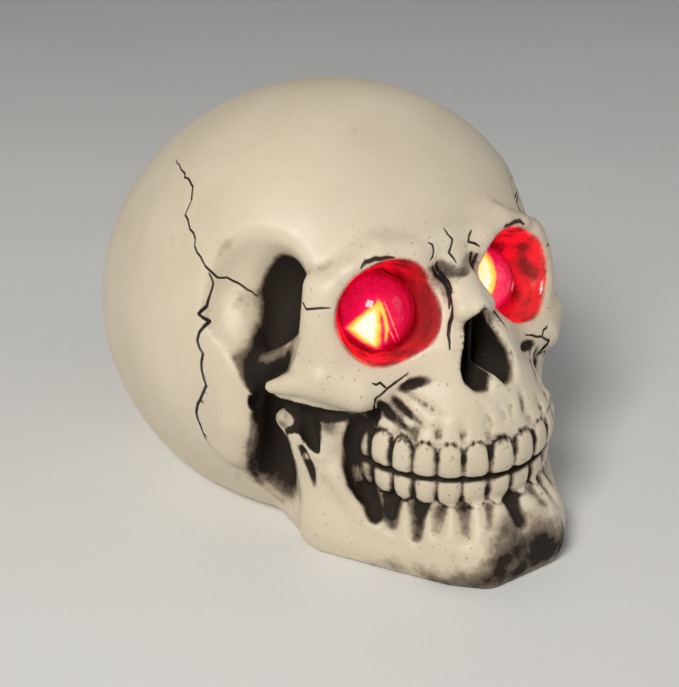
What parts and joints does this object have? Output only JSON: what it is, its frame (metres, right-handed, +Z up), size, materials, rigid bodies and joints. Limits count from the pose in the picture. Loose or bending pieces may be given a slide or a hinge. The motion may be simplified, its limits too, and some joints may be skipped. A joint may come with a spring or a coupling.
{
  "type": "halloween skull decoration",
  "caption": "Table-top skull decoration: hollow cast resin skull with clenched teeth, red domed eyes lit from behind, and a battery box with slide switch in the flat base.",
  "frame": {"origin": "centre of the bounding box at the flat base", "axes": "+Z up, the face looks along -Y, the skull's own right side is at -X"},
  "size_m": [0.1046, 0.1485, 0.0923],
  "materials": {
    "bone_resin": "cast polyresin, ivory paint with a dark brown wash in the hollows, satin",
    "red_lens": "clear red moulded dome, glossy, lit from behind",
    "lamp": "clear lamp body, lit",
    "holder_rubber": "black rubber collar",
    "box_plastic": "black moulded plastic, fine spark texture",
    "door_plastic": "black moulded plastic, fine spark texture",
    "screw_steel": "zinc plated steel",
    "cell_jacket": null,
    "contact_metal": "nickel plated steel",
    "switch_metal": "tin plated steel can",
    "switch_plastic": "black plastic knob",
    "board_laminate": "green solder mask",
    "resistor_body": "tan lacquer",
    "wire_red": "red wire sleeve",
    "wire_black": "black wire sleeve"
  },
  "bodies": {
    "skull": {"skull_casting": "bone_resin", "eye_lens_right": "red_lens", "eye_lens_left": "red_lens", "led_right": "lamp", "led_left": "lamp", "led_holder_right": "holder_rubber", "led_holder_left": "holder_rubber", "battery_box": "box_plastic", "box_screw_front_right": "screw_steel", "box_screw_front_left": "screw_steel", "box_screw_back_right": "screw_steel", "box_screw_back_left": "screw_steel", "cell_right": "cell_jacket", "cell_left": "cell_jacket", "spring_front": "contact_metal", "spring_rear": "contact_metal", "contact_bridge": "contact_metal", "contact_positive": "contact_metal", "contact_negative": "contact_metal", "switch_body": "switch_metal", "switch_screw_right": "screw_steel", "switch_screw_left": "screw_steel", "circuit_board": "board_laminate", "resistor_right": "resistor_body", "resistor_left": "resistor_body", "wire_led_right_red": "wire_red", "wire_led_right_black": "wire_black", "wire_led_left_red": "wire_red", "wire_led_left_black": "wire_black", "wire_positive": "wire_red", "wire_negative": "wire_black", "wire_switch": "wire_red"},
    "door": {"battery_door": "door_plastic", "door_screw": "screw_steel"},
    "slider": {"switch_slider": "switch_plastic"}
  },
  "joints": [
    {"name": "door_hinge", "type": "hinge", "parent": "skull", "child": "door", "pos_m": [0, -0.02205, 0.0038], "axis": [-1, 0, 0], "range_deg": [0, 75]},
    {"name": "switch_slide", "type": "slide", "parent": "skull", "child": "slider", "axis": [-1, 0, 0], "range_m": [0, 0.003]}
  ]
}
